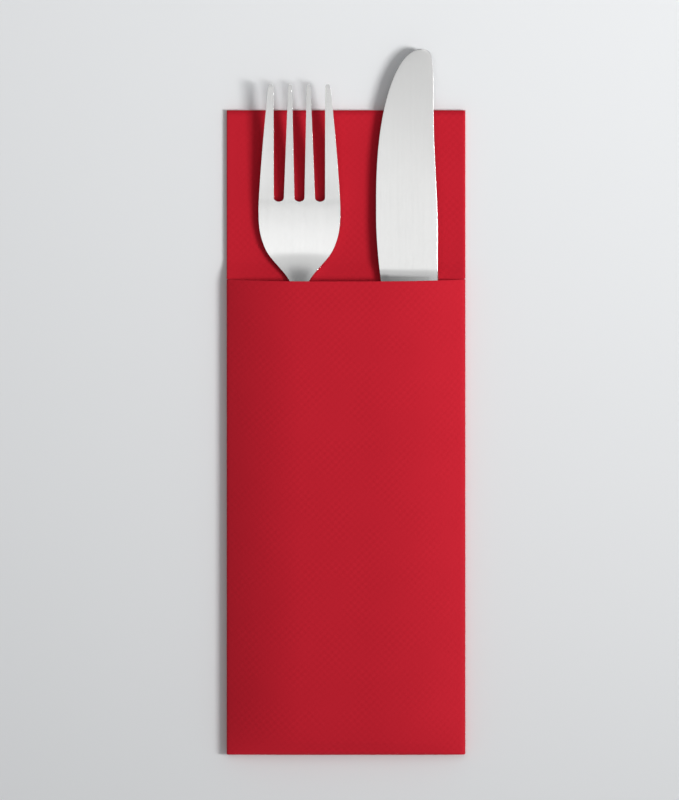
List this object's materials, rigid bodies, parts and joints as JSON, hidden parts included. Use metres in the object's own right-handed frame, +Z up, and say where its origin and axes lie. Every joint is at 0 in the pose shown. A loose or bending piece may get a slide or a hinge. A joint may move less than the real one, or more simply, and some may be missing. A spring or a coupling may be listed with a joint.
{
  "type": "cutlery pouch napkin",
  "caption": "Paper napkin folded into a flat pocket, with a table fork and a table knife pushed into it handle first.",
  "frame": {"origin": "middle of the folded napkin's underside, which lies on the table", "axes": "+Z up out of the table, +Y along the pouch towards its mouth and the fork's tines, +X across it towards the knife"},
  "size_m": [0.083, 0.2452, 0.0105],
  "materials": {
    "paper": "matte",
    "fork_steel": "satin",
    "knife_steel": "satin"
  },
  "bodies": {
    "root": {"napkin": "paper", "fork": "fork_steel", "knife": "knife_steel"}
  },
  "joints": []
}
